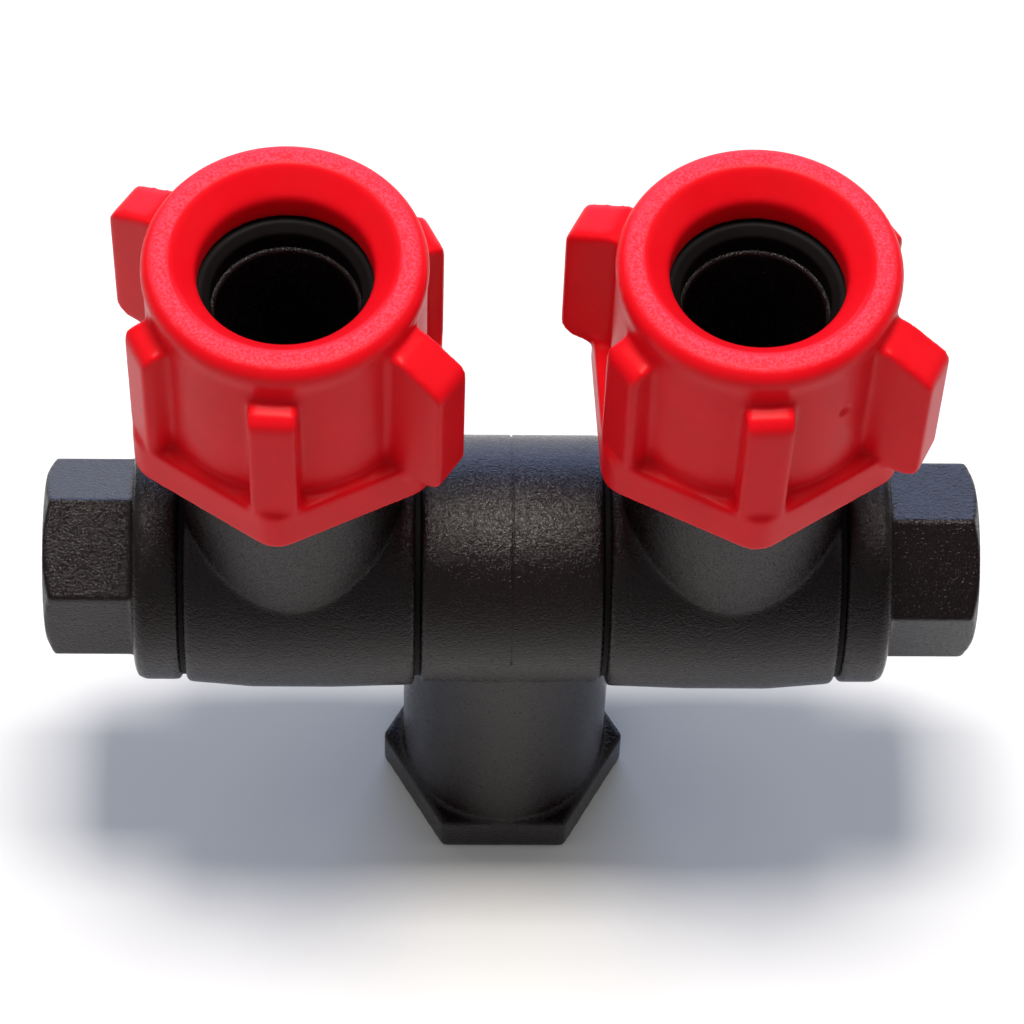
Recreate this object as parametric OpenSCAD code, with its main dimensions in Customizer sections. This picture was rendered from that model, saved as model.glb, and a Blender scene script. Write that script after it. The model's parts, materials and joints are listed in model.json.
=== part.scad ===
// Hose splitter with one threaded inlet and two swivelling outlets.
// Each outlet has a quarter-turn cap over a seat gasket, and turns on a hollow pivot bolt.
// Millimetres. The origin is the centre of the inlet mouth, +Z runs up the stem and +X along the barrel.
// The right-hand half is drawn first, and the left-hand half is the same pieces turned half round.

/* [Inlet body] */
// Height of the barrel axis above the inlet face
axis_h = 39.3; // [34:0.1:48]
// Diameter of the centre barrel
centre_d = 24.2; // [22:0.1:28]
// Length of the centre barrel
centre_len = 17.75; // [15:0.05:24]
// Diameter of the inlet stem
stem_d = 20.8; // [18:0.1:22]
// Width across the flats of the inlet hexagon
inlet_af = 21.7; // [21:0.1:27]
// Height of the inlet hexagon
inlet_hex_h = 4.7; // [3:0.1:8]
// Diameter of the inlet thread's wall
inlet_bore_d = 11.8; // [10:0.1:14]
// Depth of the inlet thread
inlet_depth = 14; // [10:0.5:16]
// Diameter of the water passages
passage_d = 8; // [6:0.1:9]

/* [Swivel bodies] */
// Largest diameter of a swivel barrel
swivel_d = 25.4; // [24:0.1:31]
// Length of a swivel barrel
swivel_len = 22.25; // [19:0.05:28]
// Distance of the outlet axis from the swivel's inner end
neck_from_inner_end = 11.8; // [10:0.05:14]
// Diameter of the neck under the cap
neck_d = 21.2; // [20:0.1:24]
// Height of the neck's shoulder above the barrel axis
neck_h = 26.8; // [22:0.1:32]
// Height of the bayonet head above the shoulder
head_h = 15.4; // [13:0.1:20]
// Diameter of the bayonet head
head_d = 17.8; // [14.8:0.1:18.4]
// Diameter of the outlet bore
outlet_bore_d = 12.8; // [10:0.1:14]
// Depth of the outlet bore below the seat
outlet_depth = 16.2; // [13:0.1:18]
// How far each bayonet lug stands out of the head
lug_reach = 1.8; // [1.2:0.1:2.2]
// Thickness of the bayonet lugs
lug_t = 2.6; // [2:0.1:3]
// Angle that each bayonet lug spans
lug_span = 64; // [50:1:70]

/* [Pivot bolts] */
// Diameter of the bolt's shank and thread
shank_d = 16; // [13:0.1:17]
// Diameter of the hollow in the bolt
hollow_d = 9.6; // [6:0.1:10]
// Length of thread inside the inlet body
thread_len = 5.2; // [4:0.1:6]
// Diameter of the bolt's collar
collar_d = 24; // [20:0.1:28]
// Thickness of the bolt's collar
collar_t = 4.5; // [3:0.1:8]
// Width across the flats of the bolt's hexagon
bolt_af = 16.7; // [12:0.1:19]
// Length of the bolt's hexagon
bolt_hex_len = 8.7; // [5:0.05:12]
// Angle at which the left hexagon rests
left_hex_turn = 32; // [0:1:59]
// Angle at which the right hexagon rests
right_hex_turn = 39; // [0:1:59]

/* [Caps] */
// Wall of the cap outside the bayonet
cap_wall = 1.75; // [1.2:0.05:3]
// Diameter of the hole in the cap
mouth_d = 15.9; // [14:0.1:17]
// Height of the cap above the seat gasket
lip_h = 5.3; // [5:0.1:8]
// Height of the cap's hexagonal flange
flange_h = 5.1; // [3:0.1:6]
// How far the flange's flats stand out of the wall
flange_reach = 1.1; // [1:0.1:4]
// How far the four ribs stand out of the wall
rib_reach = 2.3; // [1.5:0.05:4]
// How far the two ears stand out of the wall
ear_reach = 5.5; // [4:0.05:9]
// Width of the ribs and ears
rib_w = 4.4; // [3:0.1:6]
// Angle at which the left cap rests
left_cap_turn = -4; // [-4:0.5:5]
// Angle at which the right cap rests
right_cap_turn = 3; // [-4:0.5:5]

/* [Seals and washers] */
// Thickness of the friction washers
washer_t = 0.45; // [0.3:0.05:1]
// Thickness of the seat gasket
gasket_t = 2.8; // [2:0.1:3.5]
// Inner diameter of the seat gasket
gasket_bore_d = 13.6; // [13:0.1:14.5]
// Cord diameter of the o-rings, as squeezed
ring_cord_d = 1.6; // [1.2:0.1:2]
// Thickness of the tip seals
tip_seal_t = 1; // [0.6:0.1:1.4]

/* [Hidden] */
$fn = 96;

// Clearances and small edges
run_gap = 0.05;
cap_play = 0.25;
neck_play = 0.3;
seal_gap = 0.03;
swing_gap = 0.45;
edge = 0.3;
over = 0.5;

// Distances along the barrel, from the middle to the right
inner_end_x = centre_len / 2 + washer_t;
outlet_x = inner_end_x + neck_from_inner_end;
outer_end_x = inner_end_x + swivel_len;
collar_x = outer_end_x + washer_t;
hex_x = collar_x + collar_t;
bolt_end_x = hex_x + bolt_hex_len;
bolt_tip_x = centre_len / 2 - thread_len;
socket_floor_x = bolt_tip_x - tip_seal_t;

// The pivot, its water chamber and its ports
bore_r = shank_d / 2 + run_gap;
chamber_r = bore_r + 1.75;
chamber_w = 9;
port_d = 5.5;
port_count = 4;
hollow_past_port = 5.5;
cross_r = hollow_d / 2 + 0.2;
groove_r = bore_r - ring_cord_d;
groove_w = ring_cord_d + 0.6;
ring_r = bore_r - ring_cord_d / 2;
ring_inset = 3;
ring_x = [inner_end_x + ring_inset, outer_end_x - ring_inset];

// Draft of the swivel barrel from its middle to its ends
draft_in = 0.25;
draft_out = 0.5;
crown_flat = 4;

// Heights over the barrel axis
seat_h = neck_h + head_h;
ceiling_h = seat_h + gasket_t;
crest_h = ceiling_h + lip_h;
skirt_overlap = 0.9;
skirt_wall = 0.9;
skirt_h = neck_h - skirt_overlap;
flange_top_h = skirt_h + flange_h;
outlet_floor_h = seat_h - outlet_depth;
cap_lug_h = neck_h + 3.7;
lug_slack = 0.1;
head_lug_h = cap_lug_h + lug_t + lug_slack;

// Radii of the cap
lug_r = head_d / 2 + lug_reach;
cap_bore_r = lug_r + cap_play;
wall_r = max(cap_bore_r + cap_wall, neck_d / 2 + neck_play + skirt_wall);
rim_r = wall_r + 0.2;
rim_round = 1.5;
land_w = 1;
lip_r = rim_r - rim_round - land_w;
mouth_r = mouth_d / 2;
throat_h = crest_h - 2.6;
rib_r = wall_r + rib_reach;
ear_r = wall_r + ear_reach;
flange_flat_r = wall_r + flange_reach;
flange_corner_r = flange_flat_r / cos(30) - 0.45;
inlet_corner_r = inlet_af / cos(30) / 2 - 0.15;
bolt_corner_r = bolt_af / cos(30) / 2;
bolt_face_r = bolt_af / 2 - 0.2;
bolt_chamfer_h = 0.5 * (bolt_corner_r + over - bolt_face_r);
collar_round = 1;
gasket_r = head_d / 2 + 0.9;
pocket_r = gasket_r + 0.1;

// Angles of the bayonet and of the ribs, from +X
lug_turn = 60;
stop_span = 9;
stop_turn = lug_turn - lug_span / 2 - stop_span / 2 - 4.6;
rib_angles = [30, 90, 210, 270];
ear_angles = [150, 330];

black = [0.10, 0.09, 0.09];
red = [0.80, 0.07, 0.12];
rubber = [0.06, 0.06, 0.06];
acetal = [0.20, 0.20, 0.20];

// A solid turned about the barrel axis, from [radius, x] points
module along_barrel() {
    translate([0, 0, axis_h])
        rotate([0, 90, 0])
            rotate_extrude()
                children();
}

// A plain rod or bore about the barrel axis
module barrel_rod(r, from_x, to_x) {
    translate([from_x, 0, axis_h])
        rotate([0, 90, 0])
            cylinder(r = r, h = to_x - from_x);
}

// A flat ring about the barrel axis
module barrel_ring(outer_r, inner_r, from_x, to_x) {
    difference() {
        barrel_rod(outer_r, from_x, to_x);
        barrel_rod(inner_r, from_x - over, to_x + over);
    }
}

// The outlet axis of the right-hand half
module on_outlet() {
    translate([outlet_x, 0, axis_h])
        children();
}

// The left-hand half is the right-hand half turned half round
module on_left() {
    rotate([0, 0, 180])
        children();
}

// A block between two angles, both sides of an axis
module two_sectors(outer_r, inner_r, span, turn, from_h, h) {
    for (half = [0, 180])
        rotate([0, 0, turn + half])
            translate([0, 0, from_h])
                linear_extrude(h)
                    intersection() {
                        difference() {
                            circle(r = outer_r);
                            circle(r = inner_r);
                        }
                        polygon([
                            [0, 0],
                            [2 * outer_r * cos(span / 2), -2 * outer_r * sin(span / 2)],
                            [2 * outer_r * cos(span / 2), 2 * outer_r * sin(span / 2)]
                        ]);
                    }
}

// A fin of the cap: an outline in the plane of the axis, given the rib's width
module fin(angle, points) {
    rotate([0, 0, angle])
        rotate([90, 0, 0])
            linear_extrude(rib_w, center = true)
                polygon(points);
}

// Centre barrel, stem and hexagon as one moulding, with a threaded socket at each end
module inlet_body() {
    color(black)
        difference() {
            union() {
                along_barrel()
                    polygon([
                        [0, -centre_len / 2],
                        [centre_d / 2 - edge, -centre_len / 2],
                        [centre_d / 2, edge - centre_len / 2],
                        [centre_d / 2, centre_len / 2 - edge],
                        [centre_d / 2 - edge, centre_len / 2],
                        [0, centre_len / 2]
                    ]);
                cylinder(d = stem_d, h = axis_h);
                intersection() {
                    cylinder(d = inlet_af / cos(30), h = inlet_hex_h, $fn = 6);
                    cylinder(r = inlet_corner_r, h = inlet_hex_h);
                }
            }
            for (side = [-1, 1])
                translate([side * (centre_len / 2 + stem_d / 2), 0, axis_h])
                    rotate([0, 90, 0])
                        cylinder(r = swivel_d / 2 + swing_gap, h = stem_d, center = true);
            translate([0, 0, -over])
                cylinder(d = inlet_bore_d, h = inlet_depth + over);
            cylinder(d = passage_d, h = axis_h);
            barrel_rod(cross_r, -socket_floor_x - over, socket_floor_x + over);
            barrel_rod(bore_r, socket_floor_x, centre_len / 2 + over);
            barrel_rod(bore_r, -centre_len / 2 - over, -socket_floor_x);
        }
}

// Swivel barrel, neck and bayonet head, with the outlet bore
module swivel_body() {
    color(black)
        difference() {
            union() {
                along_barrel()
                    polygon([
                        [0, inner_end_x],
                        [swivel_d / 2 - draft_in - edge, inner_end_x],
                        [swivel_d / 2 - draft_in, inner_end_x + edge],
                        [swivel_d / 2, outlet_x - crown_flat],
                        [swivel_d / 2, outlet_x + crown_flat],
                        [swivel_d / 2 - draft_out, outer_end_x - edge],
                        [swivel_d / 2 - draft_out - edge, outer_end_x],
                        [0, outer_end_x]
                    ]);
                on_outlet() {
                    cylinder(d = neck_d, h = neck_h);
                    cylinder(d = head_d, h = seat_h);
                    two_sectors(lug_r, head_d / 2 - over, lug_span, lug_turn, head_lug_h, lug_t);
                    two_sectors(lug_r, head_d / 2 - over, stop_span, stop_turn, neck_h - over,
                        head_lug_h + lug_t - neck_h + over);
                }
            }
            barrel_rod(bore_r, inner_end_x - over, outer_end_x + over);
            barrel_rod(collar_d / 2 + swing_gap, outer_end_x, outer_end_x + neck_d / 2);
            barrel_rod(centre_d / 2 + swing_gap, inner_end_x - neck_d / 2, inner_end_x);
            barrel_rod(chamber_r, outlet_x - chamber_w / 2, outlet_x + chamber_w / 2);
            on_outlet() {
                cylinder(d = passage_d, h = seat_h);
                translate([0, 0, outlet_floor_h])
                    cylinder(d = outlet_bore_d, h = outlet_depth + over);
            }
        }
}

// Hollow bolt with a hexagon, a collar, four ports and two o-ring grooves
module pivot_bolt(hex_turn) {
    color(black)
        difference() {
            union() {
                along_barrel()
                    polygon([
                        [0, bolt_tip_x],
                        [shank_d / 2 - edge, bolt_tip_x],
                        [shank_d / 2, bolt_tip_x + edge],
                        [shank_d / 2, collar_x],
                        [collar_d / 2 - edge, collar_x],
                        [collar_d / 2, collar_x + edge],
                        [collar_d / 2, hex_x - collar_round],
                        [collar_d / 2 - 0.3 * collar_round, hex_x - 0.3 * collar_round],
                        [collar_d / 2 - collar_round, hex_x],
                        [0, hex_x]
                    ]);
                intersection() {
                    translate([hex_x - over, 0, axis_h])
                        rotate([hex_turn, 0, 0])
                            rotate([90, 0, 90])
                                cylinder(r = bolt_corner_r, h = bolt_hex_len + over, $fn = 6);
                    along_barrel()
                        polygon([
                            [0, hex_x - 2 * over],
                            [bolt_corner_r + over, hex_x - 2 * over],
                            [bolt_corner_r + over, bolt_end_x - bolt_chamfer_h],
                            [bolt_face_r, bolt_end_x],
                            [0, bolt_end_x]
                        ]);
                }
            }
            barrel_rod(hollow_d / 2, bolt_tip_x - over, outlet_x + hollow_past_port);
            for (i = [0 : port_count - 1])
                translate([outlet_x, 0, axis_h])
                    rotate([i * 360 / port_count, 0, 0])
                        cylinder(d = port_d, h = shank_d);
            for (x = ring_x)
                barrel_ring(shank_d / 2 + over, groove_r, x - groove_w / 2, x + groove_w / 2);
        }
}

// Cap with a dished mouth, a hexagonal flange, four ribs, two ears and two bayonet lugs inside
module quick_cap(cap_turn) {
    root_r = cap_bore_r + cap_wall / 2;
    color(red)
        on_outlet()
            rotate([0, 0, cap_turn]) {
                difference() {
                    union() {
                        rotate_extrude()
                            polygon([
                                [0, skirt_h],
                                [wall_r, skirt_h],
                                [wall_r, crest_h - 2 * rim_round],
                                [rim_r, crest_h - rim_round],
                                [rim_r - 0.3 * rim_round, crest_h - 0.3 * rim_round],
                                [rim_r - rim_round, crest_h],
                                [0, crest_h]
                            ]);
                        intersection() {
                            translate([0, 0, skirt_h])
                                rotate([0, 0, 30])
                                    cylinder(r = flange_flat_r / cos(30), h = flange_h, $fn = 6);
                            translate([0, 0, skirt_h])
                                cylinder(r = flange_corner_r, h = flange_h);
                        }
                        for (angle = rib_angles)
                            fin(angle, [
                                [root_r, flange_top_h - 1],
                                [rib_r, flange_top_h - 1],
                                [rib_r, crest_h - 5.4],
                                [rib_r - 0.9, crest_h - 4],
                                [root_r, crest_h - 2.8]
                            ]);
                        for (angle = ear_angles)
                            fin(angle, [
                                [root_r, flange_top_h - 1.4],
                                [ear_r - 1.7, flange_top_h - 1.2],
                                [ear_r - 0.5, flange_top_h - 0.6],
                                [ear_r, flange_top_h + 0.5],
                                [ear_r, crest_h - 6.3],
                                [ear_r - 0.5, crest_h - 5],
                                [ear_r - 1.5, crest_h - 4.2],
                                [root_r, crest_h - 2.5]
                            ]);
                    }
                    translate([0, 0, skirt_h - over])
                        cylinder(r = cap_bore_r, h = seat_h - skirt_h - 0.3 + over);
                    translate([0, 0, skirt_h - over])
                        cylinder(r = neck_d / 2 + neck_play, h = skirt_overlap + 0.5 + over);
                    cylinder(r = pocket_r, h = ceiling_h);
                    rotate_extrude()
                        polygon([
                            [0, skirt_h],
                            [mouth_r, skirt_h],
                            [mouth_r, throat_h],
                            [mouth_r + 0.6, throat_h + 0.6],
                            [lip_r - 0.2, crest_h - 0.2],
                            [lip_r, crest_h],
                            [lip_r, crest_h + over],
                            [0, crest_h + over]
                        ]);
                }
                two_sectors(cap_bore_r + 0.3, head_d / 2 + cap_play, lug_span, lug_turn, cap_lug_h, lug_t);
            }
}

// Flat gasket between the bayonet head and the cap, with a bevelled inner edge
module seat_gasket() {
    color(rubber)
        on_outlet()
            rotate_extrude()
                polygon([
                    [gasket_bore_d / 2, seat_h],
                    [gasket_r, seat_h],
                    [gasket_r, ceiling_h],
                    [gasket_bore_d / 2 + 0.8, ceiling_h],
                    [gasket_bore_d / 2, ceiling_h - 0.8]
                ]);
}

// Thin friction washer beside the swivel
module washer(from_x) {
    color(acetal)
        barrel_ring(centre_d / 2 - 2 * edge, bore_r, from_x, from_x + washer_t);
}

// O-ring in a groove of the pivot bolt
module o_ring(x) {
    color(rubber)
        along_barrel()
            translate([ring_r, x])
                circle(d = ring_cord_d - 2 * seal_gap);
}

// Flat seal between the bolt's tip and the floor of its socket
module tip_seal() {
    color(rubber)
        barrel_ring(bore_r - run_gap, cross_r, socket_floor_x, bolt_tip_x);
}

inlet_body();
on_left() swivel_body();  // left_swivel_body
swivel_body();  // right_swivel_body
on_left() pivot_bolt(left_hex_turn);  // left_pivot_bolt
pivot_bolt(right_hex_turn);  // right_pivot_bolt
on_left() quick_cap(left_cap_turn);  // left_quick_cap
quick_cap(right_cap_turn);  // right_quick_cap
on_left() seat_gasket();  // left_seat_gasket
seat_gasket();  // right_seat_gasket
on_left() washer(centre_len / 2);  // left_inner_washer
washer(centre_len / 2);  // right_inner_washer
on_left() washer(outer_end_x);  // left_outer_washer
washer(outer_end_x);  // right_outer_washer
on_left() o_ring(ring_x[0]);  // left_inner_o_ring
o_ring(ring_x[0]);  // right_inner_o_ring
on_left() o_ring(ring_x[1]);  // left_outer_o_ring
o_ring(ring_x[1]);  // right_outer_o_ring
on_left() tip_seal();  // left_tip_seal
tip_seal();  // right_tip_seal
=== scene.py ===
import bmesh
import bpy
import json
import math
from mathutils import Matrix, Vector


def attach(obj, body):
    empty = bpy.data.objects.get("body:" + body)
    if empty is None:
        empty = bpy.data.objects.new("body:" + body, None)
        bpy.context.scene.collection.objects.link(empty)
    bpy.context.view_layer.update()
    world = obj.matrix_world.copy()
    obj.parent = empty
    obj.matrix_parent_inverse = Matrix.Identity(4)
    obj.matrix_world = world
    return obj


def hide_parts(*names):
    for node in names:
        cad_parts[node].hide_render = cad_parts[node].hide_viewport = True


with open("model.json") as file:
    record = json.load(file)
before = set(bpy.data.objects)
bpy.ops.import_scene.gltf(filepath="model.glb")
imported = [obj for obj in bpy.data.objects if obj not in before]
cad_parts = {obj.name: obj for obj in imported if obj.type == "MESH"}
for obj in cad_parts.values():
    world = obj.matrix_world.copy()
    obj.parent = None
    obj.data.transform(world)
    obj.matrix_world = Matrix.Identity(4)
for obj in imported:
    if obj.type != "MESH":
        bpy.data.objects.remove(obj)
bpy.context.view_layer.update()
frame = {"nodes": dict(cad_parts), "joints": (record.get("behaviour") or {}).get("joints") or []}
print("frame loaded:", len(frame["nodes"]), "nodes")

mm = 0.001
weldMm = 0.001  # points nearer than this are one point
jointByName = {joint["name"]: joint for joint in frame["joints"]}


# where things are, taken from the frame
barrelAxis = Vector((0, 0, jointByName["left_swivel_turn"]["pos_m"][2]))
outletX = {side: jointByName[side + "_cap_turn"]["pos_m"][0] for side in ("left", "right")}
sideTurn = {"left": math.pi, "right": 0.0}  # the left half is the right half turned half round


# small helpers
def srgb(hexCode):
    # hex colour to the linear values that the shader wants
    channels = [int(hexCode[i:i + 2], 16) / 255 for i in (0, 2, 4)]
    return tuple(c / 12.92 if c <= 0.04045 else ((c + 0.055) / 1.055) ** 2.4 for c in channels) + (1,)


def addNode(tree, kind, settings=None, links=None):
    # one node, its settings, and what goes into its sockets (a value or another socket)
    node = tree.nodes.new(kind)
    for name, value in (settings or {}).items():
        setattr(node, name, value)
    for name, value in (links or {}).items():
        socket = node.inputs[name]
        if isinstance(value, bpy.types.NodeSocket):
            tree.links.new(value, socket)
        else:
            socket.default_value = value
    return node


def linkObject(name, mesh):
    obj = bpy.data.objects.new(name, mesh)
    bpy.context.scene.collection.objects.link(obj)
    return obj


def bakeModifiers(obj):
    # the evaluated result becomes the plain mesh, and the modifiers go
    bpy.context.view_layer.update()
    depsgraph = bpy.context.evaluated_depsgraph_get()
    mesh = bpy.data.meshes.new_from_object(obj.evaluated_get(depsgraph))
    obj.modifiers.clear()
    old = obj.data
    obj.data = mesh
    bpy.data.meshes.remove(old)
    return obj


def meshFromBmesh(name, bm):
    mesh = bpy.data.meshes.new(name)
    bmesh.ops.recalc_face_normals(bm, faces=bm.faces)
    bm.to_mesh(mesh)
    bm.free()
    return mesh


def arc(centreR, centreZ, radius, startDeg, endDeg, steps):
    # points of a round corner, as (radius, height) in millimetres
    angles = [math.radians(startDeg + (endDeg - startDeg) * i / steps) for i in range(steps + 1)]
    return [(centreR + radius * math.cos(a), centreZ + radius * math.sin(a)) for a in angles]


def ringVert(bm, r, angle, z):
    return bm.verts.new((r * mm * math.cos(angle), r * mm * math.sin(angle), z * mm))


def lathe(bm, profile, steps):
    # closed ring from an outline of (radius, height) points in millimetres
    rings = []
    for i in range(steps):
        a = 2 * math.pi * i / steps
        rings.append([ringVert(bm, r, a, z) for r, z in profile])
    for i in range(steps):
        here, there = rings[i], rings[(i + 1) % steps]
        for j in range(len(profile)):
            k = (j + 1) % len(profile)
            bm.faces.new((here[j], there[j], there[k], here[k]))


def sectorBlock(bm, innerR, outerR, centreDeg, spanDeg, lowZ, highZ, steps=16):
    # a bayonet lug: part of a ring
    columns = []
    for i in range(steps + 1):
        a = math.radians(centreDeg - spanDeg / 2 + spanDeg * i / steps)
        corners = ((innerR, lowZ), (outerR, lowZ), (outerR, highZ), (innerR, highZ))
        columns.append([ringVert(bm, r, a, z) for r, z in corners])
    for here, there in zip(columns, columns[1:]):
        for j in range(4):
            k = (j + 1) % 4
            bm.faces.new((here[j], there[j], there[k], here[k]))
    bm.faces.new(columns[0])
    bm.faces.new(reversed(columns[-1]))


def fuseAndSoften(obj, voxelMm, softenSteps):
    # overlapping solids become one skin, then its corners are worn round as a mould leaves them
    fuse = obj.modifiers.new("fuse", "REMESH")
    fuse.mode = "VOXEL"
    fuse.voxel_size = voxelMm * mm
    fuse.use_smooth_shade = True
    soften = obj.modifiers.new("soften", "SMOOTH")
    soften.factor = 0.5
    soften.iterations = softenSteps
    return bakeModifiers(obj)


def finishPiece(obj, material, body, slot, *nodes):
    obj.data.materials.clear()
    obj.data.materials.append(material)
    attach(obj, body)
    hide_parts(*nodes)
    print("made", obj.name, len(obj.data.polygons), "faces")


# the camera looks down from the front, turned a little about its own axis; lengths are in millimetres
cameraSet = {"azimuth": -2.501, "elevation": 57.287, "roll": 2.408,
             "distance": 440.0, "right": 0.165, "up": 4.517,
             "lens": 157.7, "sensorWidth": 36, "nearClip": 0.01, "farClip": 20}


def makeCamera(s):
    azimuth, elevation, roll = (math.radians(s[k]) for k in ("azimuth", "elevation", "roll"))
    back = Vector((math.sin(azimuth) * math.cos(elevation), -math.cos(azimuth) * math.cos(elevation),
                   math.sin(elevation)))
    level = (-back).cross(Vector((0, 0, 1))).normalized()
    upright = level.cross(-back)
    right = level * math.cos(roll) + upright * math.sin(roll)
    up = upright * math.cos(roll) - level * math.sin(roll)
    data = bpy.data.cameras.new("camera")
    data.lens = s["lens"]
    data.sensor_width = s["sensorWidth"]
    data.clip_start, data.clip_end = s["nearClip"], s["farClip"]
    camera = linkObject("camera", data)
    matrix = Matrix((right, up, back)).transposed().to_4x4()
    matrix.translation = barrelAxis + (back * s["distance"] + right * s["right"] + up * s["up"]) * mm
    camera.matrix_world = matrix
    bpy.context.scene.camera = camera


makeCamera(cameraSet)


def newMaterial(name, constants):
    # constants are the values that are the same all over, and go straight on the shader's sockets
    material = bpy.data.materials.new(name)
    material.use_nodes = True
    tree = material.node_tree
    shader = tree.nodes["Principled BSDF"]
    for socketName, value in constants.items():
        shader.inputs[socketName].default_value = value
    return material, tree, shader


def blackNylon():
    # injection-moulded nylon from a spark-eroded mould: warm near-black, satin, with a fine grain
    # that breaks every highlight into specks (real grain is nearer 0.1 mm, drawn coarser so that it shows)
    s = {"dark": "0e0607", "light": "160b0c", "cloudMm": 6.0, "cloudDetail": 3,
         "grainMm": 0.34, "grainDetail": 2, "grainRoughness": 0.6, "fineMm": 0.14, "fineDetail": 1,
         "grainLow": 0.3, "grainHigh": 0.7, "smooth": 0.14, "rough": 0.3,
         "bumpStrength": 1.0, "bumpMm": 0.07}
    material, tree, shader = newMaterial("mouldedBlackNylon", {"IOR": 1.53, "Specular IOR Level": 0.24})
    where = addNode(tree, "ShaderNodeTexCoord").outputs["Object"]
    cloud = addNode(tree, "ShaderNodeTexNoise", {},
                    {"Vector": where, "Scale": 1 / (s["cloudMm"] * mm), "Detail": s["cloudDetail"]})
    tint = addNode(tree, "ShaderNodeValToRGB", {}, {"Fac": cloud.outputs["Fac"]})
    tint.color_ramp.elements[0].color = srgb(s["dark"])
    tint.color_ramp.elements[1].color = srgb(s["light"])
    grain = addNode(tree, "ShaderNodeTexNoise", {},
                    {"Vector": where, "Scale": 1 / (s["grainMm"] * mm), "Detail": s["grainDetail"],
                     "Roughness": s["grainRoughness"]})
    fine = addNode(tree, "ShaderNodeTexNoise", {},
                   {"Vector": where, "Scale": 1 / (s["fineMm"] * mm), "Detail": s["fineDetail"]})
    both = addNode(tree, "ShaderNodeMath", {"operation": "ADD"},
                   {0: grain.outputs["Fac"], 1: fine.outputs["Fac"]})
    rough = addNode(tree, "ShaderNodeMapRange", {},
                    {"Value": grain.outputs["Fac"], "From Min": s["grainLow"], "From Max": s["grainHigh"],
                     "To Min": s["smooth"], "To Max": s["rough"]})
    bump = addNode(tree, "ShaderNodeBump", {},
                   {"Strength": s["bumpStrength"], "Distance": s["bumpMm"] * mm, "Height": both.outputs[0]})
    tree.links.new(tint.outputs["Color"], shader.inputs["Base Color"])
    tree.links.new(rough.outputs["Result"], shader.inputs["Roughness"])
    tree.links.new(bump.outputs["Normal"], shader.inputs["Normal"])
    return material


def redNylon():
    # injection-moulded red nylon: saturated, nearly smooth, a little see-through at thin edges;
    # the lip of the mouth has a coarser, frosty grain, which shows as rougher specks; their paler pink is
    # painted sheen from the light above
    s = {"deep": "d00a16", "bright": "e4101e", "paintedFrostSheen": "f54458", "cloudMm": 5.0, "cloudDetail": 2,
         "grainMm": 0.25, "grainDetail": 2, "grainRoughness": 0.6, "grainLow": 0.4, "grainHigh": 0.62,
         "leastPaintedSheen": 0.3, "wallRough": 0.36, "lipRough": 0.5,
         "wallBump": 0.12, "lipBump": 1.0, "bumpMm": 0.04}
    material, tree, shader = newMaterial("mouldedRedNylon", {
        "IOR": 1.53, "Specular IOR Level": 0.07,
        "Subsurface Weight": 0.1, "Subsurface Radius": (1.0, 0.12, 0.08), "Subsurface Scale": 1.2 * mm})
    where = addNode(tree, "ShaderNodeTexCoord").outputs["Object"]
    cloud = addNode(tree, "ShaderNodeTexNoise", {},
                    {"Vector": where, "Scale": 1 / (s["cloudMm"] * mm), "Detail": s["cloudDetail"]})
    tint = addNode(tree, "ShaderNodeValToRGB", {}, {"Fac": cloud.outputs["Fac"]})
    tint.color_ramp.elements[0].color = srgb(s["deep"])
    tint.color_ramp.elements[1].color = srgb(s["bright"])
    grain = addNode(tree, "ShaderNodeTexNoise", {},
                    {"Vector": where, "Scale": 1 / (s["grainMm"] * mm), "Detail": s["grainDetail"],
                     "Roughness": s["grainRoughness"]})
    lip = addNode(tree, "ShaderNodeAttribute", {"attribute_name": "frostedLipAndSheen"}).outputs["Fac"]
    specks = addNode(tree, "ShaderNodeMapRange", {},
                     {"Value": grain.outputs["Fac"], "From Min": s["grainLow"], "From Max": s["grainHigh"],
                      "To Min": s["leastPaintedSheen"], "To Max": 1})
    # painted sheen: on the lip the grain specks turn a paler pink, standing in for light from above
    sheenAmount = addNode(tree, "ShaderNodeMath", {"operation": "MULTIPLY"},
                     {0: lip, 1: specks.outputs["Result"]})
    colour = addNode(tree, "ShaderNodeMix", {"data_type": "RGBA"},
                     {"Factor": sheenAmount.outputs[0], 6: tint.outputs["Color"], 7: srgb(s["paintedFrostSheen"])})
    rough = addNode(tree, "ShaderNodeMapRange", {},
                    {"Value": lip, "To Min": s["wallRough"], "To Max": s["lipRough"]})
    strength = addNode(tree, "ShaderNodeMapRange", {},
                       {"Value": lip, "To Min": s["wallBump"], "To Max": s["lipBump"]})
    bump = addNode(tree, "ShaderNodeBump", {},
                   {"Strength": strength.outputs["Result"], "Distance": s["bumpMm"] * mm,
                    "Height": grain.outputs["Fac"]})
    tree.links.new(colour.outputs[2], shader.inputs["Base Color"])
    tree.links.new(rough.outputs["Result"], shader.inputs["Roughness"])
    tree.links.new(bump.outputs["Normal"], shader.inputs["Normal"])
    return material


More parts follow.
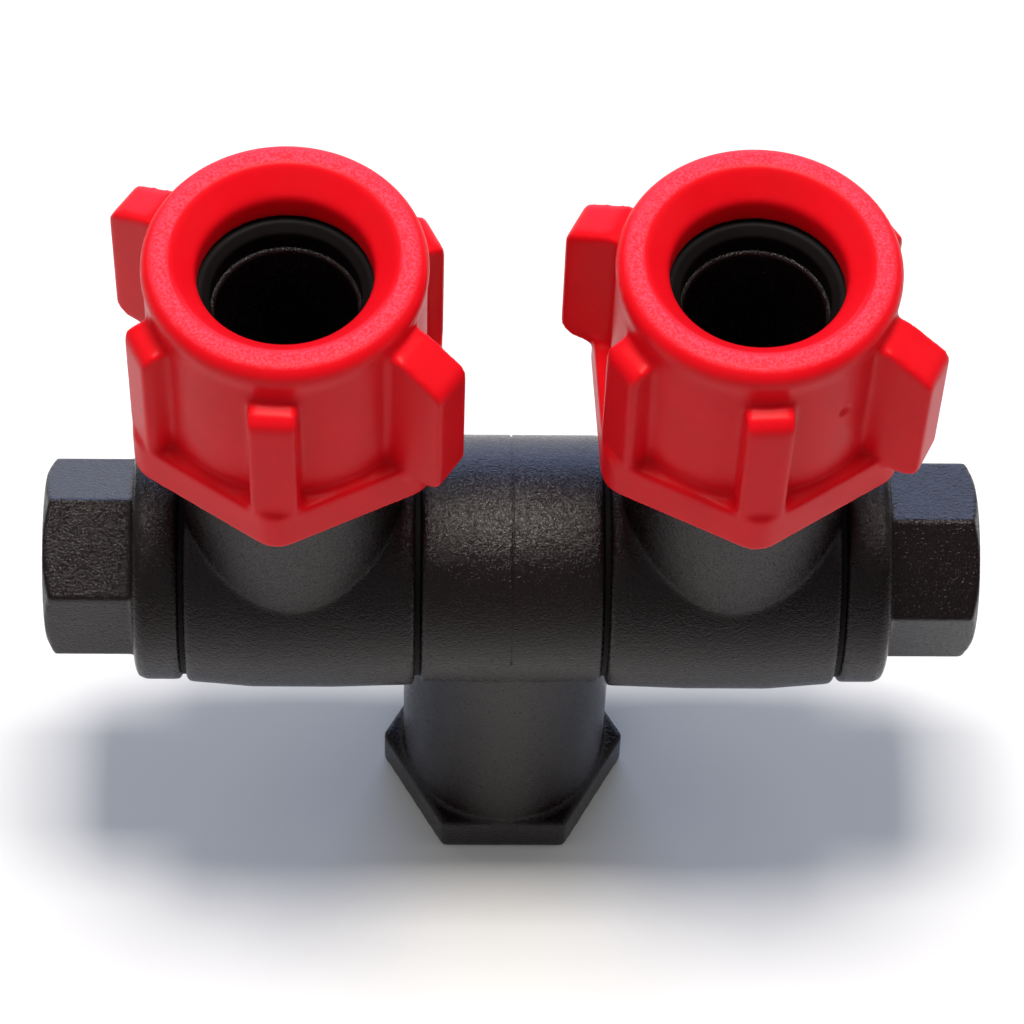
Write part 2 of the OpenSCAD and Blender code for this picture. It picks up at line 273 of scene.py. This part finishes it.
def sealRubber():
    # moulded nitrile rubber: dull black with a faint bloom
    s = {"dark": "070606", "light": "110f0f", "bloomMm": 1.5, "bloomDetail": 4,
         "bumpStrength": 0.3, "bumpMm": 0.02}
    material, tree, shader = newMaterial("mouldedNitrileRubber", {
        "Roughness": 0.55, "IOR": 1.52, "Specular IOR Level": 0.1})
    where = addNode(tree, "ShaderNodeTexCoord").outputs["Object"]
    bloom = addNode(tree, "ShaderNodeTexNoise", {},
                    {"Vector": where, "Scale": 1 / (s["bloomMm"] * mm), "Detail": s["bloomDetail"]})
    tint = addNode(tree, "ShaderNodeValToRGB", {}, {"Fac": bloom.outputs["Fac"]})
    tint.color_ramp.elements[0].color = srgb(s["dark"])
    tint.color_ramp.elements[1].color = srgb(s["light"])
    bump = addNode(tree, "ShaderNodeBump", {},
                   {"Strength": s["bumpStrength"], "Distance": s["bumpMm"] * mm,
                    "Height": bloom.outputs["Fac"]})
    tree.links.new(tint.outputs["Color"], shader.inputs["Base Color"])
    tree.links.new(bump.outputs["Normal"], shader.inputs["Normal"])
    return material


def blackAcetal():
    # turned acetal washers: dull black, with the faint mottling of a cut face
    s = {"dark": "060606", "light": "0d0c0c", "mottleMm": 0.2, "mottleDetail": 1}
    material, tree, shader = newMaterial("turnedBlackAcetal", {
        "Roughness": 0.6, "IOR": 1.48, "Specular IOR Level": 0.12})
    where = addNode(tree, "ShaderNodeTexCoord").outputs["Object"]
    mottle = addNode(tree, "ShaderNodeTexNoise", {},
                     {"Vector": where, "Scale": 1 / (s["mottleMm"] * mm), "Detail": s["mottleDetail"]})
    tint = addNode(tree, "ShaderNodeValToRGB", {}, {"Fac": mottle.outputs["Fac"]})
    tint.color_ramp.elements[0].color = srgb(s["dark"])
    tint.color_ramp.elements[1].color = srgb(s["light"])
    tree.links.new(tint.outputs["Color"], shader.inputs["Base Color"])
    return material


nylon, red, rubber, acetal = blackNylon(), redNylon(), sealRubber(), blackAcetal()
print("materials made")


# the red caps: radii and heights over the barrel axis, in millimetres
capSet = {"skirtZ": 25.9, "wallR": 12.7, "rimR": 12.9, "crestZ": 50.3, "rimRound": 1.5,
          "wallTopDrop": 3.2, "rimStartDrop": 2.2, "rimStartStep": 0.03,
          "landInnerR": 10.4, "landRound": 0.35, "funnelDeg": 45, "holeR": 7.95, "holeRound": 0.9,
          "ceilingZ": 45.0, "pocketR": 9.9, "seatZ": 41.9, "boreR": 10.95, "neckGapR": 10.9, "neckGapZ": 27.3,
          "flangeTopZ": 31.0, "flangeR": 15.93, "flangeRound": 2.9,
          "finW": 4.4, "finRootR": 11.8, "ribR": 15.0, "ribTopZ": 44.7, "ribRootZ": 48.0, "ribRound": 1.6,
          "earR": 18.2, "earTopZ": 44.9, "earRootZ": 48.2, "earBaseZ": 29.8, "earRound": 1.6,
          "lugInnerR": 9.15, "lugZ": 30.5, "lugT": 2.6, "lugSpan": 64, "lugTurn": 60,
          "lugOverlap": 0.5, "lathe": 180, "flangeOverlap": 0.4,
          "gateDeg": -55, "gateZ": 41.0, "gateR": 0.7, "gateDepth": 0.3,
          # the lip band: where the rougher grain lies, and where its paler pink is painted sheen
          "lipBandInset": 0.15, "lipBandDrop": 0.3, "lipBandFade": 0.25,
          "turn": {"left": -4.0, "right": 3.0}, "voxel": 0.26, "soften": 20}


def capProfile(s):
    # wall, rounded rim, flat land, funnel, rounded hole, then the pocket, seat and bore behind it
    normalDeg = 90 + s["funnelDeg"]
    landOuterR = s["rimR"] - s["rimRound"]
    outside = [(s["wallR"], s["skirtZ"]), (s["wallR"], s["crestZ"] - s["wallTopDrop"]),
               (s["rimR"] - s["rimStartStep"], s["crestZ"] - s["rimStartDrop"])]
    rim = arc(landOuterR, s["crestZ"] - s["rimRound"], s["rimRound"], 0, 90, 12)
    edge = arc(s["landInnerR"], s["crestZ"] - s["landRound"], s["landRound"], 90, normalDeg, 4)
    hole = arc(s["holeR"] + s["holeRound"], 0, s["holeRound"], normalDeg, 180, 6)
    drop = (edge[-1][0] - hole[0][0]) * math.tan(math.radians(s["funnelDeg"]))
    lift = edge[-1][1] - drop - hole[0][1]
    hole = [(r, z + lift) for r, z in hole]
    inside = [(s["holeR"], s["ceilingZ"]), (s["pocketR"], s["ceilingZ"]), (s["pocketR"], s["seatZ"]),
              (s["boreR"], s["seatZ"]), (s["boreR"], s["neckGapZ"]), (s["neckGapR"], s["neckGapZ"]),
              (s["neckGapR"], s["skirtZ"])]
    return outside + rim + edge + hole + inside


def solidFromCurveGroup():
    # fills a flat closed curve and gives it a thickness, closed on both faces
    tree = bpy.data.node_groups.new("solidFromCurve", "GeometryNodeTree")
    tree.interface.new_socket("Curve", in_out="INPUT", socket_type="NodeSocketGeometry")
    tree.interface.new_socket("Thickness", in_out="INPUT", socket_type="NodeSocketFloat")
    tree.interface.new_socket("Mesh", in_out="OUTPUT", socket_type="NodeSocketGeometry")
    start = addNode(tree, "NodeGroupInput")
    face = addNode(tree, "GeometryNodeFillCurve", {"mode": "NGONS"}, {"Curve": start.outputs["Curve"]})
    pulled = addNode(tree, "GeometryNodeExtrudeMesh", {"mode": "FACES"},
                     {"Mesh": face.outputs["Mesh"], "Offset Scale": start.outputs["Thickness"],
                      "Individual": False})
    back = addNode(tree, "GeometryNodeFlipFaces", {}, {"Mesh": face.outputs["Mesh"]})
    both = addNode(tree, "GeometryNodeJoinGeometry")
    tree.links.new(pulled.outputs["Mesh"], both.inputs["Geometry"])
    tree.links.new(back.outputs["Mesh"], both.inputs["Geometry"])
    closed = addNode(tree, "GeometryNodeMergeByDistance", {},
                     {"Geometry": both.outputs["Geometry"], "Distance": weldMm * mm})
    addNode(tree, "NodeGroupOutput", {}, {"Mesh": closed.outputs["Geometry"]})
    return tree


finCount, earEvery = 6, 3
cornerSteps = 6


def capTree():
    # round shell in, finished cap out: a hexagonal flange, and six fins of which every third is an ear
    tree = bpy.data.node_groups.new("capShape", "GeometryNodeTree")
    tree.interface.new_socket("Shell", in_out="INPUT", socket_type="NodeSocketGeometry")
    for name in ("Skirt Z", "Flange Top Z", "Flange R", "Flange Round", "Flange Hole R",
                 "Fin W", "Fin Root R", "Rib R", "Rib Top Z", "Rib Root Z", "Rib Round",
                 "Ear R", "Ear Top Z", "Ear Root Z", "Ear Base Z", "Ear Round"):
        tree.interface.new_socket(name, in_out="INPUT", socket_type="NodeSocketFloat")
    tree.interface.new_socket("Material", in_out="INPUT", socket_type="NodeSocketMaterial")
    tree.interface.new_socket("Cap", in_out="OUTPUT", socket_type="NodeSocketGeometry")
    given = addNode(tree, "NodeGroupInput").outputs
    solid = solidFromCurveGroup()

    def minus(a, b):
        return addNode(tree, "ShaderNodeMath", {"operation": "SUBTRACT"}, {0: a, 1: b}).outputs[0]

    def point(x, y):
        return addNode(tree, "ShaderNodeCombineXYZ", {}, {"X": x, "Y": y}).outputs[0]

    def rounded(curve, radius):
        fillet = addNode(tree, "GeometryNodeFilletCurve", {"mode": "POLY"},
                         {"Curve": curve, "Count": cornerSteps, "Radius": radius, "Limit Radius": True})
        return fillet.outputs["Curve"]

    def thick(curve, thickness):
        return addNode(tree, "GeometryNodeGroup", {"node_tree": solid},
                       {"Curve": curve, "Thickness": thickness}).outputs["Mesh"]

    # flange
    hexagon = addNode(tree, "GeometryNodeCurvePrimitiveCircle", {"mode": "RADIUS"},
                      {"Resolution": 6, "Radius": given["Flange R"]}).outputs["Curve"]
    height = minus(given["Flange Top Z"], given["Skirt Z"])
    plate = thick(rounded(hexagon, given["Flange Round"]), height)
    raised = addNode(tree, "ShaderNodeCombineXYZ", {}, {"Z": given["Skirt Z"]}).outputs[0]
    plate = addNode(tree, "GeometryNodeTransform", {},
                    {"Geometry": plate, "Translation": raised,
                     "Rotation": (0, 0, math.radians(180 / finCount))}).outputs["Geometry"]
    drill = addNode(tree, "GeometryNodeMeshCylinder", {"fill_type": "NGON"},
                    {"Vertices": 96, "Radius": given["Flange Hole R"], "Depth": 200 * mm}).outputs["Mesh"]
    flange = addNode(tree, "GeometryNodeMeshBoolean", {"operation": "DIFFERENCE", "solver": "EXACT"})
    tree.links.new(plate, flange.inputs["Mesh 1"])
    tree.links.new(drill, flange.inputs["Mesh 2"])

    # fins, drawn flat with X outwards and Y up
    def fin(outerR, topZ, rootZ, baseZ, radius):
        outline = addNode(tree, "GeometryNodeCurvePrimitiveQuadrilateral", {"mode": "POINTS"},
                          {"Point 1": point(given["Fin Root R"], baseZ), "Point 2": point(outerR, baseZ),
                           "Point 3": point(outerR, topZ), "Point 4": point(given["Fin Root R"], rootZ)})
        plate = thick(rounded(outline.outputs["Curve"], radius), given["Fin W"])
        half = addNode(tree, "ShaderNodeMath", {"operation": "MULTIPLY"},
                       {0: given["Fin W"], 1: -0.5}).outputs[0]
        aside = addNode(tree, "ShaderNodeCombineXYZ", {}, {"Z": half}).outputs[0]
        centred = addNode(tree, "GeometryNodeTransform", {},
                          {"Geometry": plate, "Translation": aside}).outputs["Geometry"]
        return addNode(tree, "GeometryNodeTransform", {},
                       {"Geometry": centred, "Rotation": (math.radians(90), 0, 0)}).outputs["Geometry"]

    ribBase = minus(given["Flange Top Z"], 1 * mm)  # a rib starts inside the flange
    rib = fin(given["Rib R"], given["Rib Top Z"], given["Rib Root Z"], ribBase, given["Rib Round"])
    ear = fin(given["Ear R"], given["Ear Top Z"], given["Ear Root Z"],
              given["Ear Base Z"], given["Ear Round"])
    places = addNode(tree, "GeometryNodeMeshLine", {"mode": "OFFSET"},
                     {"Count": finCount, "Offset": (0, 0, 0)}).outputs["Mesh"]
    index = addNode(tree, "GeometryNodeInputIndex").outputs["Index"]
    angle = addNode(tree, "ShaderNodeMath", {"operation": "MULTIPLY_ADD"},
                    {0: index, 1: math.radians(360 / finCount), 2: math.radians(180 / finCount)}).outputs[0]
    turned = addNode(tree, "ShaderNodeCombineXYZ", {}, {"Z": angle}).outputs[0]
    place = addNode(tree, "ShaderNodeMath", {"operation": "MODULO"},
                    {0: index, 1: float(earEvery)}).outputs[0]
    isEar = addNode(tree, "FunctionNodeCompare", {"data_type": "FLOAT", "operation": "EQUAL"},
                    {"A": place, "B": earEvery - 1.0, "Epsilon": 0.1}).outputs["Result"]
    isRib = addNode(tree, "FunctionNodeBooleanMath", {"operation": "NOT"}, {0: isEar}).outputs[0]
    joined = addNode(tree, "GeometryNodeJoinGeometry")
    tree.links.new(given["Shell"], joined.inputs["Geometry"])
    tree.links.new(flange.outputs["Mesh"], joined.inputs["Geometry"])
    for shape, chosen in ((rib, isRib), (ear, isEar)):
        copies = addNode(tree, "GeometryNodeInstanceOnPoints", {},
                         {"Points": places, "Selection": chosen, "Instance": shape, "Rotation": turned})
        tree.links.new(copies.outputs["Instances"], joined.inputs["Geometry"])
    real = addNode(tree, "GeometryNodeRealizeInstances", {}, {"Geometry": joined.outputs["Geometry"]})
    painted = addNode(tree, "GeometryNodeSetMaterial", {}, {"Geometry": real.outputs["Geometry"],
                                                            "Material": given["Material"]})
    addNode(tree, "NodeGroupOutput", {}, {"Cap": painted.outputs["Geometry"]})
    return tree


def setInputs(modifier, tree, values):
    for item in tree.interface.items_tree:
        if item.in_out == "INPUT" and item.name in values:
            modifier[item.identifier] = values[item.name]


def makeCap(side, tree, s):
    bm = bmesh.new()
    lathe(bm, capProfile(s), s["lathe"])
    for half in (0, 180):
        sectorBlock(bm, s["lugInnerR"], s["boreR"] + s["lugOverlap"], s["lugTurn"] + half, s["lugSpan"],
                    s["lugZ"], s["lugZ"] + s["lugT"])
    cap = linkObject(side + "Cap", meshFromBmesh(side + "Cap", bm))
    shape = cap.modifiers.new("capShape", "NODES")
    shape.node_group = tree
    setInputs(shape, tree, {
        "Skirt Z": s["skirtZ"] * mm, "Flange Top Z": s["flangeTopZ"] * mm, "Flange R": s["flangeR"] * mm,
        "Flange Round": s["flangeRound"] * mm, "Flange Hole R": (s["wallR"] - s["flangeOverlap"]) * mm,
        "Fin W": s["finW"] * mm, "Fin Root R": s["finRootR"] * mm,
        "Rib R": s["ribR"] * mm, "Rib Top Z": s["ribTopZ"] * mm, "Rib Root Z": s["ribRootZ"] * mm,
        "Rib Round": s["ribRound"] * mm, "Ear R": s["earR"] * mm, "Ear Top Z": s["earTopZ"] * mm,
        "Ear Root Z": s["earRootZ"] * mm, "Ear Base Z": s["earBaseZ"] * mm, "Ear Round": s["earRound"] * mm,
        "Material": red})
    bakeModifiers(cap)
    fuseAndSoften(cap, s["voxel"], s["soften"])
    # the rim's top band gets rougher grain, and a paler pink painted there as sheen from the light above
    frostAndSheen = cap.data.attributes.new("frostedLipAndSheen", "FLOAT", "POINT")
    gateTurn = math.radians(s["gateDeg"])
    gate = Vector((s["wallR"] * math.cos(gateTurn), s["wallR"] * math.sin(gateTurn), s["gateZ"])) * mm
    for v, value in zip(cap.data.vertices, frostAndSheen.data):
        radius, height = math.hypot(v.co.x, v.co.y) / mm, v.co.z / mm
        inner = min(max((radius - s["landInnerR"] + s["lipBandInset"]) / s["lipBandFade"], 0), 1)
        upper = min(max((height - s["crestZ"] + s["lipBandDrop"]) / s["lipBandFade"], 0), 1)
        value.value = inner * upper
        away = (v.co - gate).length / (s["gateR"] * mm)
        if away < 1:  # the dimple where the moulding was fed
            v.co -= Vector((gate.x, gate.y, 0)).normalized() * s["gateDepth"] * mm * (1 - away * away)
    turn = sideTurn[side] + math.radians(s["turn"][side])
    cap.data.transform(Matrix.Translation((outletX[side], 0, barrelAxis.z)) @ Matrix.Rotation(turn, 4, "Z"))
    finishPiece(cap, red, side + "_cap", "red_cap", side + "_quick_cap")


capShape = capTree()
for side in ("left", "right"):
    makeCap(side, capShape, capSet)


# the black mouldings and the gaskets: sizes in millimetres
bodySet = {"inlet": (0.28, 6), "swivel": (0.3, 5), "bolt": (0.235, 4), "gasket": (0.16, 4)}  # voxel, steps
partingSet = {"halfWidth": 0.17, "depth": 0.22, "barrelR": 11.0, "reach": 0.001}


def softCopy(node, name, voxelMm, softenSteps):
    # a copy of the frame's own solid, welded and then softened
    bm = bmesh.new()
    bm.from_mesh(frame["nodes"][node].data)
    bmesh.ops.remove_doubles(bm, verts=bm.verts, dist=2 * weldMm * mm)
    piece = linkObject(name, meshFromBmesh(name, bm))
    return fuseAndSoften(piece, voxelMm, softenSteps)


def scorePartingLine(obj, s):
    # the mould's joint, a fine groove over the middle of the barrel
    bm = bmesh.new()
    bm.from_mesh(obj.data)
    for x in (-s["halfWidth"], 0, s["halfWidth"]):
        bmesh.ops.bisect_plane(bm, geom=bm.verts[:] + bm.edges[:] + bm.faces[:], dist=weldMm / 10 * mm,
                               plane_co=(x * mm, 0, 0), plane_no=(1, 0, 0))
    for v in bm.verts:
        across = Vector((0, v.co.y, v.co.z - barrelAxis.z))
        onLine = abs(v.co.x) < s["reach"] * mm and across.length > s["barrelR"] * mm
        if onLine and v.co.z > barrelAxis.z:
            v.co -= across.normalized() * s["depth"] * mm
    bm.to_mesh(obj.data)
    bm.free()


inlet = softCopy("inlet_body", "inletBody", *bodySet["inlet"])
scorePartingLine(inlet, partingSet)
finishPiece(inlet, nylon, "inlet", "black_body", "inlet_body")
for side in ("left", "right"):
    swivel = softCopy(side + "_swivel_body", side + "Swivel", *bodySet["swivel"])
    finishPiece(swivel, nylon, side + "_swivel", "black_body", side + "_swivel_body")
    bolt = softCopy(side + "_pivot_bolt", side + "PivotBolt", *bodySet["bolt"])
    finishPiece(bolt, nylon, side + "_bolt", "black_body", side + "_pivot_bolt")
    gasket = softCopy(side + "_seat_gasket", side + "SeatGasket", *bodySet["gasket"])
    finishPiece(gasket, rubber, side + "_cap", "seal_rubber", side + "_seat_gasket")

for name, obj in frame["nodes"].items():  # washers, O-rings and tip seals stay as the frame has them
    if obj.hide_render:
        continue
    obj.data.materials.clear()
    obj.data.materials.append(acetal if "washer" in name else rubber)
print("black mouldings made")


# floor and light: angles in degrees round the object and over the floor, sizes in metres, power in watts
floorSet = {"halfSize": 3, "cells": 8, "belowMm": 0.02, "colour": "f4f4f4"}
lightSet = {
    "overhead": {"azimuth": 180, "elevation": 85, "distance": 0.6, "size": (0.24, 0.12), "power": 3.9,
                 "colour": "fffaf4"},
    "window": {"azimuth": 180, "elevation": 11, "distance": 0.9, "size": (1.0, 0.32), "power": 6.0,
               "colour": "b4ccff"},
    "frontFill": {"azimuth": -20, "elevation": 35, "distance": 1.0, "size": (0.8, 0.8), "power": 0.9,
                  "colour": "ffffff"},
    "leftFill": {"azimuth": -105, "elevation": 40, "distance": 0.9, "size": (0.8, 0.8), "power": 1.2,
                 "colour": "ffffff"},
    "rightFill": {"azimuth": 105, "elevation": 40, "distance": 0.9, "size": (0.8, 0.8), "power": 1.2,
                  "colour": "ffffff"}}
surroundings = 0.15  # brightness of the plain white world


def makeFloor(s):
    # plain matt board just under the object
    bm = bmesh.new()
    bmesh.ops.create_grid(bm, x_segments=s["cells"], y_segments=s["cells"], size=s["halfSize"])
    floor = linkObject("floor", meshFromBmesh("floor", bm))
    floor.data.transform(Matrix.Translation((0, 0, -s["belowMm"] * mm)))
    material = newMaterial("paleFloor", {"Base Color": srgb(s["colour"]), "Roughness": 0.85})[0]
    floor.data.materials.append(material)


def areaLight(name, s):
    data = bpy.data.lights.new(name, "AREA")
    data.shape = "RECTANGLE"
    data.size, data.size_y = s["size"]
    data.energy = s["power"]
    data.color = srgb(s["colour"])[:3]
    lamp = linkObject(name, data)
    azimuth, elevation = math.radians(s["azimuth"]), math.radians(s["elevation"])
    back = Vector((math.sin(azimuth) * math.cos(elevation), -math.cos(azimuth) * math.cos(elevation),
                   math.sin(elevation)))
    matrix = back.to_track_quat("Z", "Y").to_matrix().to_4x4()
    matrix.translation = barrelAxis + back * s["distance"]
    lamp.matrix_world = matrix


makeFloor(floorSet)
for name, lightValues in lightSet.items():
    areaLight(name, lightValues)
world = bpy.data.worlds.new("studio")
world.use_nodes = True
background = world.node_tree.nodes["Background"]
background.inputs["Color"].default_value = srgb("ffffff")
background.inputs["Strength"].default_value = surroundings
bpy.context.scene.world = world
bpy.context.scene.view_settings.view_transform = "Standard"
print("stage made")
